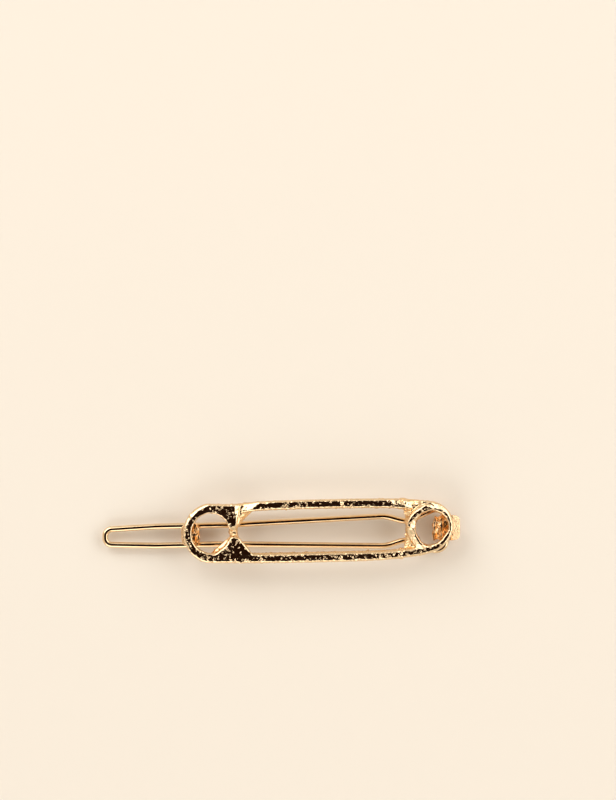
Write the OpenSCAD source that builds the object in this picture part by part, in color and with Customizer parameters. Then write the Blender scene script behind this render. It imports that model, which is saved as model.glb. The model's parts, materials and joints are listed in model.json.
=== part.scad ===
// Hairpin: a cast safety-pin ornament with a snap-shut wire clasp behind it.
// +X runs along the pin towards the hinge, +Y across it, +Z out of the ornament's front.
// The origin is under the middle of the pin, on the plane that the pin rests on.

/* [Ornament] */
// Distance between the centres of the cap hole and the coil hole
hole_span = 36.7; // [33:0.1:41]
// Width across the two rails where they bow out most
frame_w = 10.5; // [10.2:0.1:11.6]
// Thickness of the rails and of the cap, from the flat back to the crown
frame_t = 1.8; // [1.5:0.1:2.3]
// Width of the upper rail
rail_top_w = 1.6; // [1.3:0.1:1.9]
// Width of the lower rail
rail_bottom_w = 1.8; // [1.4:0.1:2.1]
// Width of the rounding along the front edges of the rails
edge_w = 0.4; // [0.3:0.05:0.5]
// Depth of the rounding along the front edges of the rails
edge_drop = 0.5; // [0.4:0.05:0.6]
// Thickness of the low webs beside the coil and across the neck of the cap
web_t = 1.2; // [1:0.1:1.4]

/* [Cap end] */
// Radius of the hole in the cap
cap_hole_r = 3.3; // [2.8:0.1:3.6]
// Width of the band round the closed end of the cap hole
cap_band = 1.4; // [1.1:0.1:1.8]
// Width of the cap across its hole
cap_w = 10; // [9.4:0.1:10.4]
// Width of the neck where the two halves of the cap meet
cap_neck = 0.85; // [0.6:0.05:1.1]
// Distance from the hole to the crease that ends the upper half of the cap
cap_crease = 0.7; // [0.55:0.05:0.9]
// Distance from the hole's centre to the straight ledge that closes its lower right
chord_gap = 2.4; // [2.1:0.05:2.7]

/* [Coil ring] */
// Radius of the hole in the coil ring
coil_hole_r = 2.7; // [2.3:0.1:3]
// Width of the coil's band where it crosses between the rails
coil_band = 1.4; // [1.1:0.1:1.7]
// Width of the band at the far end of the pin
coil_end_band = 0.95; // [0.8:0.05:1.3]
// Radius of the pin's outline round the coil end
end_r = 4.35; // [4:0.05:4.7]
// Height of the coil hole's centre over the pin's middle line
coil_rise = 0.2; // [0:0.05:0.4]
// Height of the centre of the pin's rounded end over its middle line
end_rise = 0.3; // [0.1:0.05:0.4]
// Thickness of the coil's crossing band, which lies over the ends of the rails
coil_t = 2.15; // [1.8:0.05:2.6]

/* [Wire clasp] */
// Diameter of the spring wire
wire_d = 1; // [0.8:0.05:1.2]
// Length of wire that stands out past the cap as the finger tab
tab_len = 13.7; // [11:0.1:16]
// Spacing of the two legs at the tip, between wire centres
tip_w = 2.5; // [2.2:0.1:2.9]
// Spacing of the two legs where they pass the catch, between wire centres
leg_w = 3.2; // [2.9:0.1:3.6]
// Spacing of the two legs at the shoulder of the lyre, between wire centres
shoulder_w = 5; // [4.4:0.1:5.6]
// Distance from the hinge axis to the shoulder
shoulder_len = 10; // [9.5:0.1:11.5]
// Spacing of the two legs at the waist of the lyre, between wire centres
waist_w = 2.9; // [2.5:0.1:3.2]
// Distance from the hinge axis to the waist
waist_len = 6.5; // [5.8:0.1:7]
// Bend radius where each leg turns in to the hinge
knee_r = 1.65; // [1.4:0.05:1.9]
// Sideways offset of the clasp from the pin's middle line
arm_shift = -0.4; // [-0.5:0.1:0.3]
// Free height for hair between the wire and the ornament's back
hair_gap = 2.2; // [1.8:0.1:3]

/* [Hinge lug] */
// Length of the lug's foot along the pin
lug_len = 4.7; // [4.2:0.1:5.2]
// Width of the lug's foot
lug_w = 4.25; // [3.8:0.05:4.6]
// Distance that the lug stands out past the ornament's end
lug_overhang = 1.1; // [0.8:0.1:1.4]
// Thickness of the lug's foot
lug_foot_t = 1.1; // [0.8:0.1:1.3]
// Width of the knuckle between the wire's knees
knuckle_w = 3.2; // [2.9:0.1:3.5]
// Free space between each wire end and the bore's wall
bore_gap = 0.05; // [0.02:0.01:0.09]
// Free space between the knuckle and each knee of the wire
side_play = 0.15; // [0.1:0.01:0.3]

/* [Catch] */
// Length of the catch's foot along the pin
foot_len = 3.2; // [2.8:0.1:3.6]
// Width of the catch's foot
foot_w = 3.9; // [3.5:0.1:4.3]
// Thickness of the catch's foot
foot_t = 0.8; // [0.6:0.1:1.1]
// Length of the catch's head along the pin
head_len = 2.6; // [2.3:0.1:3]
// Thickness of the catch's head
head_t = 0.7; // [0.6:0.05:0.9]
// Distance that each wing of the head reaches past its wire's centre
wing = 0.25; // [0.15:0.05:0.4]
// Free space between the closed wire and the head
snap_gap = 0.1; // [0.05:0.01:0.2]
// Free space between the stem and each wire
stem_gap = 0.25; // [0.15:0.05:0.35]

/* [Hidden] */

// Heights over the resting plane
axis_z = head_t + snap_gap + wire_d / 2;
back_z = axis_z + wire_d / 2 + hair_gap;

// Places along the pin
cap_reach = cap_hole_r + cap_band;
coil_reach = coil_hole_r + coil_end_band;
frame_len = cap_reach + hole_span + coil_reach;
total_len = tab_len + frame_len + lug_overhang;
frame_left = tab_len - total_len / 2;
cap_x = frame_left + cap_reach;
coil_x = cap_x + hole_span;
frame_right = coil_x + coil_reach;
end_x = frame_right - end_r;
pin_x = total_len / 2 - lug_len / 2;
tip_x = wire_d / 2 - total_len / 2;
foot_over_share = 0.13;
catch_x = frame_left + foot_len * (1 / 2 - foot_over_share);

// Outline of the ornament: the rails bow out most at the crest and draw in to the two ends
crest_share = 0.46;
crest_x = cap_x + hole_span * crest_share;
coil_y = sqrt(pow(end_r, 2) - pow(coil_x - end_x, 2));
coil_flat_share = 0.1;
coil_tip_share = 0.13;
end_flat_share = 0.045;

// Shaped front edges, as shares of the edge's width and depth, and the power of the curve
rail_shares = [1, 1, 2];
low_inner_shares = [1.55, 1.24, 1.7];
cap_shares = [0.85, 0.9, 2];
hole_shares = [0.75, 0.84, 2];
sharp_shares = [0.25, 0.4, 2];
small_shares = [0.5, 0.7, 2];
ledge_shares = [2.25, 0.9, 1.05];
fall_shares = [1, 1.6, 1.25];

// Height of the upper rail along its length, from the webs' (0) to the rails' (1)
rail_rise_shares = [[0, 1], [0.107, 1], [0.112, 0], [0.183, 1], [0.872, 1], [0.936, 0], [0.96, 1], [1, 1]];
rail_stop_shares = [0, 0.05, 0.107, 0.112, 0.15, 0.183, 0.24, 0.3, 0.36, 0.42, 0.48, 0.54, 0.6, 0.66,
    0.72, 0.78, 0.83, 0.872, 0.905, 0.936, 0.96, 0.98, 1];
// Outer slope of the rounded end by angle: share of the edge's width, and power
end_w_shares = [[-90, 1], [-50, 1], [0, 1.25], [40, 1.55], [70, 2.1], [90, 1]];
end_power_shares = [[-90, 2], [-50, 2], [0, 1.6], [40, 1.25], [70, 1.25], [90, 2]];

// The coil's band by angle: inner and outer slope as shares of its width, and its height from the
// webs' (0) to the coil's (1). The crest wanders from the hole's edge out to the left side and back.
inner_slope_shares = [[60, 0.18], [88, 0.18], [112, 0.28], [150, 0.54], [171, 0.84], [175, 0.9],
    [184, 0.1], [200, 0.12], [208, 0.16], [245, 0.2], [292, 0.25]];
outer_slope_shares = [[60, 0.3], [88, 0.3], [112, 0.52], [150, 0.3], [171, 0.08], [175, 0.06],
    [184, 0.86], [200, 0.84], [208, 0.74], [245, 0.66], [292, 0.6]];
coil_rise_shares = [[60, 0.58], [82, 0.72], [105, 1], [236, 1], [256, 0.6], [272, 0], [292, 0]];
coil_root_share = 0.85;
coil_slope_share = 1.1;

// The cap's halves by angle round its hole: edge of the hole, and height from the webs' to the rails'
upper_hole_shares = [[-3, 1.1], [4, 1.08], [12, 0.95], [25, 0.945], [45, 1], [96, 1]];
lower_hole_shares = [[2, 1.13], [10, 1.03], [20, 0.91], [60, 0.91], [85, 1], [96, 1]];
upper_rise_shares = [[3, 0], [16, 1]];
lower_rise_shares = [[2, 0], [11, 1]];
upper_start_share = 0.65;
lower_start_share = 0.82;
upper_lean = 12;
lower_lean = 37.5;
chord_a = -49.5;
crown_y_share = 0.75;
rim_share = 0.3;
taper_share = 0.58;
facet_drop_share = 0.84;

// Stations and facets
arc_steps = 16;
coil_steps = 34;
edge_steps = 5;
fill_share = 0.96;
depth_share = 0.8;
stagger = frame_t / 60;
cut_over = 1;
wire_fn = 48;
corner_steps = 6;

gold = [0.9, 0.74, 0.5];
deep_gold = [0.85, 0.62, 0.33];

function unit(v) = v / norm(v);
function mix(a, b, s) = a + (b - a) * s;
function polar(r, a) = [r * cos(a), r * sin(a)];
function ease(s) = let (c = min(1, max(0, s))) c * c * (3 - 2 * c);
// A smooth hump of height 1 round the angle `at`, nothing past `spread` degrees from it
function hump(a, at, spread) = let (d = abs((a - at + 540) % 360 - 180))
    d > spread ? 0 : pow(cos(90 * d / spread), 2);

// Distance of the ornament's outline from its middle line at x; side is 1 above and -1 below
function outer_y(x, side) = frame_w / 2 - (x < crest_x
    ? (frame_w - cap_w) / 2 * pow((crest_x - x) / (crest_x - cap_x), 2)
    : (frame_w / 2 - coil_y - side * end_rise) * pow((x - crest_x) / (coil_x - crest_x), 4));

// Width of a rail at x, which meets the edge of each hole
function rail_w(x, side) = let (
    w = side > 0 ? rail_top_w : rail_bottom_w,
    s = x < crest_x ? (crest_x - x) / (crest_x - cap_x) : (x - crest_x) / (coil_x - crest_x),
    end_w = x < crest_x ? cap_w / 2 - cap_hole_r : coil_y - coil_hole_r + side * (end_rise - coil_rise)
) mix(w, end_w, s * s);

// The coil hole is a circle with a flatter side at its lower right and a blunt tip below
function coil_hole(a) = [coil_x, coil_rise] + polar(coil_hole_r
    * (1 - coil_flat_share * hump(a, -38, 40) + coil_tip_share * hump(a, -112, 38)), a);

// Width, depth and power of an edge from its shares
function edge(shares) = [edge_w * shares[0], edge_drop * shares[1], shares[2]];

// Points of a shaped front edge at the corner c, whose crown lies towards d
function edge_points(c, d, h, e, fit) = [for (k = [0 : edge_steps - 1]) let (
    t = 90 * k / (edge_steps - 1),
    inward = e[0] * fit * (1 - pow(cos(t), 2 / e[2])),
    down = min(e[1], h * depth_share) * (1 - pow(sin(t), 2 / e[2]))
) [c.x + d.x * inward, c.y + d.y * inward, back_z + h - down]];

// A section from edge p to edge q: flat back, upright sides, shaped front edges and a flat crown
function section(p, q, h, near, far) = let (
    w = norm(q - p),
    d = (q - p) / w,
    fit = min(1, w * fill_share / (near[0] + far[0])),
    far_points = edge_points(q, -d, h, far, fit)
) concat(
    [[p.x, p.y, back_z]],
    edge_points(p, d, h, near, fit),
    [for (k = [edge_steps - 1 : -1 : 0]) far_points[k]],
    [[q.x, q.y, back_z]]
);

// A solid through a row of sections with as many points each
module loft(rows, closed = false) {
    n = len(rows);
    m = len(rows[0]);
    last = closed ? n - 1 : n - 2;
    sides = [for (i = [0 : last], j = [0 : m - 1]) let (
        a = i * m + j,
        b = i * m + (j + 1) % m,
        c = (i + 1) % n * m + (j + 1) % m,
        d = (i + 1) % n * m + j
    ) each [[a, b, c], [a, c, d]]];
    caps = closed ? [] : [[for (j = [m - 1 : -1 : 0]) j], [for (j = [0 : m - 1]) (n - 1) * m + j]];
    polyhedron(points = [for (r = rows) each r], faces = concat(sides, caps), convexity = 6);
}

// The pin's outer loop: upper rail, end band, lower rail and cap band in one closed bar
module outer_loop() {
    turn = [for (i = [1 : arc_steps - 1]) 180 * i / arc_steps];
    end_a = acos((coil_x - end_x) / end_r);
    last = len(rail_stop_shares) - 1;
    upper = [for (s = rail_stop_shares) let (x = mix(cap_x, coil_x, s), y = outer_y(x, 1))
        section([x, y - rail_w(x, 1)], [x, y], mix(web_t, frame_t, lookup(s, rail_rise_shares)),
            edge(rail_shares), edge(rail_shares))];
    end = [for (t = turn) let (
        a = 90 - t,
        b = a * end_a / 90,
        r = end_r * (1 - end_flat_share * hump(b, -45, 45)),
        far = edge([lookup(a, end_w_shares), 1, lookup(a, end_power_shares)])
    ) section(coil_hole(a), [end_x, end_rise] + polar(r, b), frame_t, edge(hole_shares), far)];
    lower = [for (i = [last : -1 : 0]) let (x = mix(cap_x, coil_x, rail_stop_shares[i]), y = -outer_y(x, -1))
        section([x, y + rail_w(x, -1)], [x, y], frame_t, edge(low_inner_shares), edge(rail_shares))];
    cap = [for (t = turn) let (
        a = 270 - t,
        near = mix(edge(hole_shares), edge(sharp_shares), ease((255 - a) / 45))
    ) section([cap_x, 0] + polar(cap_hole_r, a), [cap_x + cap_reach * cos(a), cap_w / 2 * sin(a)],
        frame_t, near, edge(cap_shares))];
    loft(concat(upper, end, lower, cap), closed = true);
}

// The coil's crossing band: it rises out of the upper rail, passes left of the hole and sinks again
module coil_crossing() {
    from_a = 62;
    to_a = 284;
    loft([for (i = [0 : coil_steps]) let (
        a = mix(from_a, to_a, i / coil_steps),
        hole = coil_hole(a),
        out = unit(hole - [coil_x, coil_rise]),
        w = coil_band * mix(coil_root_share, 1, sin(180 * i / coil_steps)),
        p = hole + stagger * out,
        drop = edge_drop * coil_slope_share,
        near = [w * lookup(a, inner_slope_shares), drop, 1.5],
        far = [w * lookup(a, outer_slope_shares), drop, 1.25]
    ) section(p + w * out, p, mix(web_t, coil_t, lookup(a, coil_rise_shares)), far, near)]);
}

// One half of the cap, fanned round the hole up to its leaning right wall: side is 1 above, where
// a tapering facet lies between the crease and the wall, and -1 below
module cap_half(side) {
    upper = side > 0;
    lean = upper ? upper_lean : lower_lean;
    start = cap_hole_r + cap_neck * (upper ? upper_start_share : lower_start_share);
    first_a = upper ? -3 : 2;
    last_a = 96;
    near_steps = 12;
    far_steps = 5;
    crown = mix(cap_hole_r, cap_w / 2, crown_y_share);
    corner_a = atan2(crown, start + crown * tan(lean));
    angles = concat(
        [for (i = [0 : near_steps]) mix(first_a, corner_a, i / near_steps)],
        [for (i = [1 : far_steps]) mix(corner_a, last_a, i / far_steps)]
    );
    function reach(a) = a < corner_a ? start / (cos(a) - tan(lean) * sin(a)) : crown / sin(a);
    function height(a) = mix(web_t + stagger, frame_t - stagger,
        upper ? lookup(a, upper_rise_shares) : ease(lookup(a, lower_rise_shares)));
    function near_r(a) = min(reach(a) - cap_neck * rim_share,
        cap_hole_r * lookup(a, upper ? upper_hole_shares : lower_hole_shares) + stagger);
    function facet_w(a) = (reach(a) * cos(a) - cap_hole_r - cap_crease)
        * ease(reach(a) * sin(a) / cap_hole_r / taper_share) / cos(a);
    function far(a) = a < corner_a
        ? [max(edge_w / 4, upper ? facet_w(a) : edge_w * taper_share), edge_drop * facet_drop_share, 1.25]
        : edge(small_shares);
    rows = [for (a = angles) section(
        [cap_x, 0] + polar(near_r(a), side * a),
        [cap_x, 0] + polar(reach(a), side * a),
        height(a), edge(small_shares), far(a)
    )];
    loft(upper ? [for (i = [len(rows) - 1 : -1 : 0]) rows[i]] : rows);
}

// The sloping ledge that closes the lower right of the cap hole along a straight edge
module chord_ledge() {
    ledge_steps = 8;
    lap_share = 0.12;
    half_a = acos(chord_gap / cap_hole_r);
    loft([for (i = [ledge_steps : -1 : 0]) let (a = mix(-half_a, half_a, i / ledge_steps)) section(
        [cap_x, 0] + polar(chord_gap / cos(a), chord_a + a),
        [cap_x, 0] + polar(cap_hole_r * (1 + lap_share), chord_a + a),
        web_t + stagger / 2, edge(ledge_shares), edge(small_shares)
    )]);
}

// The low web between the cap hole and the long window, which slopes down to the window
module cap_web() {
    crown = mix(cap_hole_r, cap_w / 2, crown_y_share) + 3 * stagger;
    point_r_share = 0.45;
    open_shares = [1.05, 1.2];
    web_steps = 16;
    soft = cap_hole_r * point_r_share;
    hole_r = cap_hole_r + 2 * stagger;
    tall_share = 0.96;
    function hole_x(y) = cap_x + sqrt(pow(hole_r, 2) - pow(min(abs(y), hole_r * tall_share), 2));
    function window_x(y) = cap_x + cap_hole_r + cap_neck
        + open_shares[y > 0 ? 1 : 0] * (sqrt(y * y + soft * soft) - soft);
    function wall_x(y) = cap_x + cap_hole_r + cap_neck * upper_start_share + tan(upper_lean) * max(y, 0)
        - 3 * stagger;
    loft([for (i = [0 : web_steps]) let (y = mix(crown, -crown, i / web_steps)) section(
        [hole_x(y), y], [window_x(y), y], web_t, edge(hole_shares),
        [max(edge_w, window_x(y) - wall_x(y)), edge_drop * fall_shares[1], fall_shares[2]]
    )]);
}

// The low web between the rails and the coil's crossing band, which slopes down to the window
module coil_web() {
    out = coil_hole_r + coil_band;
    half_shares = [[1.3, 0.5, 1], [1.16, 0.55, 0.82], [1.11, 0.65, 0.6], [1.1, 0.8, 0.35]];
    full_shares = concat(
        half_shares,
        [[1.09, 0.85, 0]],
        [for (i = [len(half_shares) - 1 : -1 : 0]) let (s = half_shares[i]) [s[0], s[1], -s[2]]]
    );
    loft([for (s = full_shares) let (
        side = s[2] < 0 ? -1 : 1,
        y = s[2] * (outer_y(coil_x - out, side) - rail_top_w / 2)
    ) section([coil_x - s[0] * out, y], [coil_x - s[1] * out, y], web_t - stagger,
        [out * (s[0] - s[1]), edge_drop * fall_shares[1], fall_shares[2]], edge(small_shares))]);
}

module pin_frame() {
    color(gold) {
        outer_loop();
        coil_crossing();
        cap_half(1);
        cap_half(-1);
        chord_ledge();
        cap_web();
        coil_web();
    }
}

// Points round a rectangle with rounded corners, centred on the origin
function round_rect(l, w, r) = [for (q = [0 : 3], k = [0 : corner_steps]) let (
    sx = q == 0 || q == 3 ? 1 : -1,
    sy = q < 2 ? 1 : -1
) [sx * (l / 2 - r), sy * (w / 2 - r)] + polar(r, 90 * (q + k / corner_steps))];

// Shares of the catch: length of the stem, height of the wings' lip, radius of the foot's corners
stem_share = 0.62;
lip_share = 0.35;
foot_r_share = 0.3;

// The catch: a foot under the cap band, a stem between the legs, and a head with two wings
module catch_post() {
    stem_w = leg_w - wire_d - 2 * stem_gap;
    stem_len = head_len * stem_share;
    half_head = leg_w / 2 + wing;
    sole = stem_w / 2;
    lip = head_t * lip_share;
    foot_r = foot_len * foot_r_share;
    color(deep_gold) {
        translate([catch_x, arm_shift / 2, back_z - foot_t])
            linear_extrude(foot_t)
                polygon(round_rect(foot_len, foot_w, foot_r));
        translate([catch_x - stem_len / 2, arm_shift - stem_w / 2, head_t / 2])
            cube([stem_len, stem_w, back_z - foot_t / 2 - head_t / 2]);
        translate([catch_x - head_len / 2, arm_shift, 0])
            rotate([90, 0, 90])
                linear_extrude(head_len)
                    polygon([[-sole, 0], [sole, 0], [half_head, head_t - lip], [half_head, head_t],
                        [-half_head, head_t], [-half_head, head_t - lip]]);
    }
}

// Shares of the lug: length of the neck, radius of the foot's lobes and of its outer corners
neck_share = 0.85;
lobe_share = 0.28;
lug_r_share = 0.18;

// Outline of the lug's foot: two lobes towards the middle of the pin, two round corners outside
function lug_outline() = let (
    lobe_r = lug_w * lobe_share,
    r = lug_w * lug_r_share,
    hub = [lobe_r - lug_len / 2, lug_w / 2 - lobe_r],
    notch_a = acos(hub.y / lobe_r),
    upper = concat(
        [for (k = [0 : corner_steps])
            [lug_len / 2 - r, lug_w / 2 - r] + polar(r, 90 * k / corner_steps)],
        [for (k = [0 : 2 * corner_steps]) hub + polar(lobe_r, mix(90, 270 - notch_a, k / corner_steps / 2))]
    ),
    n = len(upper)
) concat(upper, [for (i = [n - 2 : -1 : 0]) [upper[i].x, -upper[i].y]]);

// The hinge lug: a foot under the coil ring, and a knuckle with the bore for the wire's ends
module hinge_lug() {
    knuckle_r = axis_z;
    neck_len = 2 * knuckle_r * neck_share;
    color(deep_gold)
        difference() {
            union() {
                translate([pin_x, 0, back_z - lug_foot_t])
                    linear_extrude(lug_foot_t)
                        polygon(lug_outline());
                translate([pin_x - neck_len / 2, arm_shift - knuckle_w / 2, axis_z])
                    cube([neck_len, knuckle_w, back_z - lug_foot_t / 2 - axis_z]);
                translate([pin_x, arm_shift, axis_z])
                    rotate([90, 0, 0])
                        cylinder(r = knuckle_r, h = knuckle_w, center = true, $fn = 64);
            }
            translate([pin_x, arm_shift, axis_z])
                rotate([90, 0, 0])
                    cylinder(r = wire_d / 2 + bore_gap, h = knuckle_w + 2 * cut_over, center = true,
                        $fn = 64);
        }
}

// Corners of one leg, from the end in the bore out to the tip: [x, y, bend radius]
pin_gap_share = 0.25;
bore_end_y = knuckle_w * pin_gap_share / 2;
knee_y = knuckle_w / 2 + side_play;
knee_aim = [waist_len - knee_r, knee_y - waist_w / 2];
flare_a = atan2(knee_aim.y, knee_aim.x) + asin(knee_r / norm(knee_aim));
tip_bend_share = 0.9;
tab_bend_share = 0.35;
swell_share = 0.01;
bend_lap = wire_d / 10;
easy_r = 20;
leg = [
    [pin_x, bore_end_y, 0],
    [pin_x, waist_w / 2 + waist_len * tan(flare_a), knee_r],
    [pin_x - waist_len, waist_w / 2, 2 * knee_r],
    [pin_x - shoulder_len, shoulder_w / 2, 3 * knee_r],
    [cap_x + cap_reach / 2, leg_w / 2, easy_r],
    [frame_left - tab_len * tab_bend_share, leg_w / 2, easy_r],
    [tip_x, tip_w / 2, tip_w / 2 * tip_bend_share]
];

// A straight length of wire, a hair thinner than the bends that it runs into at both ends
module straight(p, q) {
    d = q - p;
    lap = bend_lap * unit(d);
    translate([p.x - lap.x, p.y - lap.y, 0])
        rotate([0, 90, atan2(d.y, d.x)])
            cylinder(d = wire_d * (1 - swell_share), h = norm(d + 2 * lap), $fn = wire_fn);
}

// A bend of the wire round the corner b between a and c
module bend(a, b, c, r) {
    d1 = unit(b - a);
    d2 = unit(c - b);
    turn = atan2(cross(d1, d2), d1 * d2);
    t = r * tan(abs(turn) / 2);
    hub = b - d1 * t + r * sign(turn) * [-d1.y, d1.x];
    first = turn > 0 ? b - d1 * t : b + d2 * t;
    translate([hub.x, hub.y, 0])
        rotate(atan2(first.y - hub.y, first.x - hub.x))
            rotate_extrude(angle = abs(turn), $fn = 2 * wire_fn)
                translate([r, 0])
                    circle(d = wire_d, $fn = wire_fn);
}

// How far a bend reaches back along each of its legs
function bend_reach(a, b, c, r) = let (d1 = unit(b - a), d2 = unit(c - b))
    r * tan(abs(atan2(cross(d1, d2), d1 * d2)) / 2);

module wire_arm() {
    n = len(leg);
    rows = concat(leg, [for (i = [n - 1 : -1 : 0]) [leg[i].x, -leg[i].y, leg[i].z]]);
    pts = [for (p = rows) [p.x, p.y]];
    last = len(pts) - 1;
    back = [for (i = [0 : last]) i == 0 || i == last ? 0
        : bend_reach(pts[i - 1], pts[i], pts[i + 1], rows[i].z)];
    color(gold)
        translate([0, arm_shift, axis_z]) {
            for (i = [0 : last - 1]) {
                d = unit(pts[i + 1] - pts[i]);
                straight(pts[i] + d * back[i], pts[i + 1] - d * back[i + 1]);
            }
            for (i = [1 : last - 1])
                bend(pts[i - 1], pts[i], pts[i + 1], rows[i].z);
        }
}

pin_frame();
catch_post();
hinge_lug();
wire_arm();
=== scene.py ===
"""A gold hairpin lying on a pale floor: a cast safety-pin ornament over a bent wire clasp.

Shapes are worked out in millimetres along the frame's own axes, and scaled to metres as they
become meshes. The castings are made as fields of signed distance, so that their parts melt
together and carry the lumps of a casting.
"""
import json
import math

import bpy
import numpy as np
import openvdb
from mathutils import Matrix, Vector


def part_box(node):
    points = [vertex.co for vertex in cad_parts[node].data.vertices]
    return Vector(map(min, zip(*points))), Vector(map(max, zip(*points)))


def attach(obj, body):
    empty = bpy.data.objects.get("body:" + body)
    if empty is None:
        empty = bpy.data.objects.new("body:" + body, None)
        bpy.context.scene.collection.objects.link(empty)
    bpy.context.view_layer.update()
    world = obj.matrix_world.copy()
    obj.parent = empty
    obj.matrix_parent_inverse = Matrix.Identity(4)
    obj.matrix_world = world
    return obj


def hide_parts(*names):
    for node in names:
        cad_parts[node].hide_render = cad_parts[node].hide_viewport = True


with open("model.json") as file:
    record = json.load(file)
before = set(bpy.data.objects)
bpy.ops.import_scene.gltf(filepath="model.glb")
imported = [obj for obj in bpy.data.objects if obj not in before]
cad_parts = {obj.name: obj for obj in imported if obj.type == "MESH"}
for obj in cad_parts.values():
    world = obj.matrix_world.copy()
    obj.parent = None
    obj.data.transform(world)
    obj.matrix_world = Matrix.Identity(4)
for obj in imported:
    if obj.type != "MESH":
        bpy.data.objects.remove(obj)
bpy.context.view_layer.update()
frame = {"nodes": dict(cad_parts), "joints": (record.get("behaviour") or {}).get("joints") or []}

MM = 0.001


def corners(name):
    """Lowest and highest corner of a node of the frame, in millimetres."""
    low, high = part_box(name)
    return np.array(low) / MM, np.array(high) / MM


pin_low, pin_high = corners("pin_frame")
wire_low, wire_high = corners("wire_arm")
hinge = np.array(frame["joints"][0]["pos_m"]) / MM

# The ornament: sizes of its outline
hole_span = 36.7
rail_top_w = 1.6
rail_bottom_w = 1.8
cap_hole_r = 3.3
cap_band = 1.4
cap_w = 10.0
cap_neck = 0.85
coil_hole_r = 2.7
coil_band = 1.4
coil_rise = 0.2
end_r = 4.35
end_rise = 0.3
frame_w = pin_high[1] - pin_low[1]
cap_x = pin_low[0] + cap_hole_r + cap_band
coil_x = cap_x + hole_span
end_x = pin_high[0] - end_r
crest_x = cap_x + 0.46 * hole_span
coil_y = math.sqrt(end_r ** 2 - (coil_x - end_x) ** 2)
cap_centre = np.array([cap_x, 0])
coil_centre = np.array([coil_x, coil_rise])

# Dents and bumps of that outline: place, reach and depth, along x from the cap or in degrees
neck_dip = (3.5, 3.2, 0.28)
hole_flat = (-38, 40, 0.1)
hole_tip = (-112, 38, 0.13)
end_flat = (-45, 45, 0.045)

# The ornament: heights over its flat back
back_z = pin_low[2]
coil_t = pin_high[2] - pin_low[2]
frame_t = 1.8
web_t = 1.2
ledge_t = 1.25

# The cap, from the centre of its hole: the crossing point of its halves, the upper half's crease
# and wall, the lower half's wall, and the chord that closes the hole's lower right
crossing_x = 3.9
crease_x = 4.22
upper_wall = (4.05, 10.2)
lower_wall = (4.0, 37.5)
chord_gap = 2.4
chord_a = -49.5
crown_y = 0.25 * cap_hole_r + 0.75 * cap_w / 2

# The cap's waist, where its halves cross: place, reach and depth on its left and on its right
waist_left = (0.1, 0.65, 0.5)
waist_right = (-0.1, 0.8, 0.28)

# The upper rail: how it rises beside the cap's crease and sinks before the coil
rise_len = 2.6
crease_fade = 0.2
sink_gap = 2.3
sink_len = 2.4
inner_gap = 2.4
inner_fade = 0.9

# Where its crown leans out: start, fade in, end and fade out, from the crease and from the coil
crown_lean = 0.4
lean_by_cap = (0.0, 0.3, 3.9, 1.6)
lean_by_coil = (-7.2, 1.8, -2.2, 0.8)

# The wire clasp
wire_d = wire_high[2] - wire_low[2]
tip_w = 2.5
leg_w = 3.2
leg_bend_r = 20
shoulder_w = 5.0
shoulder_len = 10.0
waist_w = 2.9
waist_len = 6.5
knee_r = 1.65
knee_y = 1.75
bore_end_y = 0.4
wire_power = 2.3
wire_sides = 40
wire_step = 0.5
bend_step = 5

# The soldered feet. The plan of each is a superellipse with one power on its left and one on its
# right, and its left side leans. A ridge has its x and its rise.
catch_foot = {
    "centre": (-15.04, -0.2),
    "half": (1.6, 1.95),
    "powers": (3.0, 3.0),
    "lean": 0.0,
    "ridges": (),
    "seed": 21,
}
lug_foot = {
    "centre": (27.575, 0.0),
    "half": (2.35, 2.125),
    "powers": (2.5, 4.5),
    "lean": -0.1,
    "ridges": ((25.6, 0.34), (26.8, 0.3)),
    "seed": 31,
}
ridge_w = 0.3

# How far under the ornament's back the plan cuts a foot, and how far a foot's lumps may rise over
# the frame's own shape
foot_reach = 1.15
foot_room = (0, 0, 0.25)

# What sticks out past an end of the ornament slopes down: its tilt, how far before the end the
# slope starts, its first drop, how far before the end it cuts, and its share of the lumps
out_tilt = 0.28
out_start = 0.25
out_drop = 0.05
out_edge = 0.4
out_lumps_share = 0.3

# Steps of the castings' fields, in millimetres and in steps
pitch = 0.1
band_steps = 6

# Lumps of the castings: height, spacing and seed, and the level over which pits and knobs show
pin_shrink = 0.02
pin_lumps = ((0.009, 0.33, 3), (0.006, 0.18, 4))
pin_pits = (0.035, 0.26, 5, 1.1)
pin_knobs = (0.05, 0.3, 6, 1.0)
knob_power = 1.5
web_lumps = (0.1, 0.3, 8)
foot_lumps = ((0.06, 0.36), (0.025, 0.18))

# Where the web's lumps show: their x from the coil's centre and its reach, and the start and fade
# of a ramp over height, which goes down. The ramps for the feet's lumps and ridges go up
web_lumps_x = (-4.9, 1.0)
web_lumps_z = (1.7, -0.4)
foot_lumps_z = (-0.9, 0.5, 0.15)
ridge_z = (-0.6, 0.5)

# Shaped edges of the castings: width and drop of the edge, and how square its curve is
rail_edge = (0.43, 0.5, 2.0)
low_inner_edge = (0.62, 0.62, 1.7)
cap_outer_edge = (0.34, 0.45, 2.0)
cap_slope = (0.66, 0.5, 1.4)
sharp_edge = (0.1, 0.2, 2.0)
thin_edge = (0.1, 0.24, 2.0)
wedge_edge = (0.4, 0.42, 1.5)
hole_edge = (0.3, 0.42, 2.0)
crest_edge = (0.26, 0.4, 2.0)
slope_edge = (0.98, 0.5, 1.2)
end_slope = (0.5, 0.34, 1.2)
end_edge = (0.5, 0.5, 1.6)
small_round = (0.2, 0.34, 2.0)
web_round = (0.3, 0.5, 2.0)
ledge_slope = (0.9, 0.45, 1.05)
waist_slope = (0.9, 0.42, 1.15)
facet_slope = 0.5
facet_power = 1.05
edge_steps = 9

# Edges that take turns clockwise round the right end: each with its first angle and its fade
end_edges = ((slope_edge, 92, 18), (end_slope, 70, 30), (end_edge, 40, 40), (rail_edge, -10, 40))

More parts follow.
